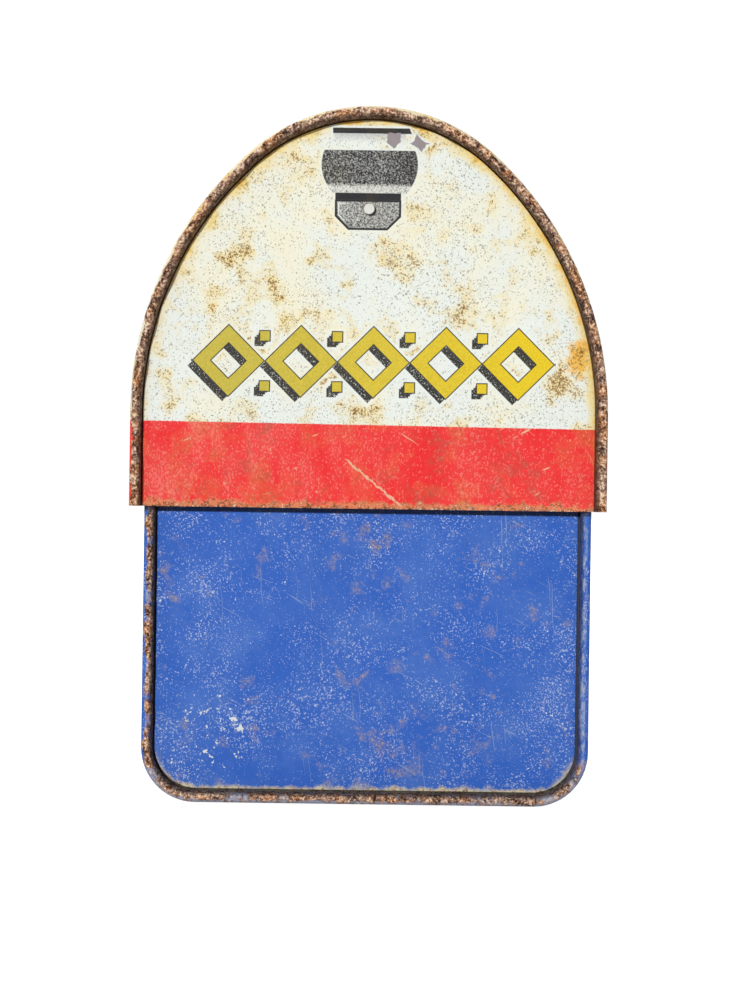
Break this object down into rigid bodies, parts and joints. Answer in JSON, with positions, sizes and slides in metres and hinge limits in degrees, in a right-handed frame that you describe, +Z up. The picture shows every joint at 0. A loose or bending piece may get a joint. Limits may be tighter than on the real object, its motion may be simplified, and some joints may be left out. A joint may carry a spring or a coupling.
{
  "type": "post box tin",
  "caption": "Domed sheet-metal carry tin printed as a street post box, with hinged lid, front hasp, folding top handle and a wire bottle clip inside the dome.",
  "frame": {"origin": "centre of the base's underside", "axes": "+Z up, Y along the tin's length with the pictured end facing -Y, +X towards the hasp, -X towards the lid hinges"},
  "size_m": [0.1342, 0.225, 0.1853],
  "materials": {
    "lid_tin": "satin printed tinplate, worn",
    "base_tin": "satin printed tinplate, worn",
    "fitting_steel": "dull plated sheet steel",
    "pin_steel": "plain steel wire",
    "rivet_steel": "plated",
    "wire_steel": "plated wire",
    "grip_plastic": "moulded, slightly scuffed"
  },
  "bodies": {
    "base": {"base_barrel": "base_tin", "base_end_front": "base_tin", "base_end_rear": "base_tin", "hinge_a_base_leaf": "fitting_steel", "hinge_b_base_leaf": "fitting_steel", "hinge_a_pin": "pin_steel", "hinge_b_pin": "pin_steel", "base_hinge_rivets": "rivet_steel", "catch": "fitting_steel", "catch_rivets": "rivet_steel"},
    "lid": {"lid_barrel": "lid_tin", "lid_end_front": "lid_tin", "lid_end_rear": "lid_tin", "hinge_a_lid_leaf": "fitting_steel", "hinge_b_lid_leaf": "fitting_steel", "lid_hinge_rivets": "rivet_steel", "hasp_bracket": "fitting_steel", "hasp_pin": "pin_steel", "hasp_rivets": "rivet_steel", "handle_bracket_front": "fitting_steel", "handle_bracket_rear": "fitting_steel", "handle_rivets": "rivet_steel", "bottle_clip_bracket_front": "fitting_steel", "bottle_clip_bracket_rear": "fitting_steel", "bottle_clip_rivets": "rivet_steel", "bottle_clip_catch": "fitting_steel"},
    "hasp": {"hasp": "fitting_steel"},
    "handle": {"handle_bail": "wire_steel", "handle_grip": "grip_plastic"},
    "bottle_clip": {"bottle_clip": "wire_steel"}
  },
  "joints": [
    {"name": "lid_swing", "type": "hinge", "parent": "base", "child": "lid", "pos_m": [-0.0626, 0, 0.076], "axis": [0, -1, 0], "range_deg": [0, 105]},
    {"name": "hasp_swing", "type": "hinge", "parent": "lid", "child": "hasp", "pos_m": [0.0626, 0, 0.0805], "axis": [0, -1, 0], "range_deg": [-10, 140]},
    {"name": "handle_swing", "type": "hinge", "parent": "lid", "child": "handle", "pos_m": [0, 0, 0.182], "axis": [0, -1, 0], "range_deg": [0, 192]},
    {"name": "bottle_clip_swing", "type": "hinge", "parent": "lid", "child": "bottle_clip", "pos_m": [-0.054, 0, 0.091], "axis": [0, 1, 0], "range_deg": [0, 50]}
  ]
}
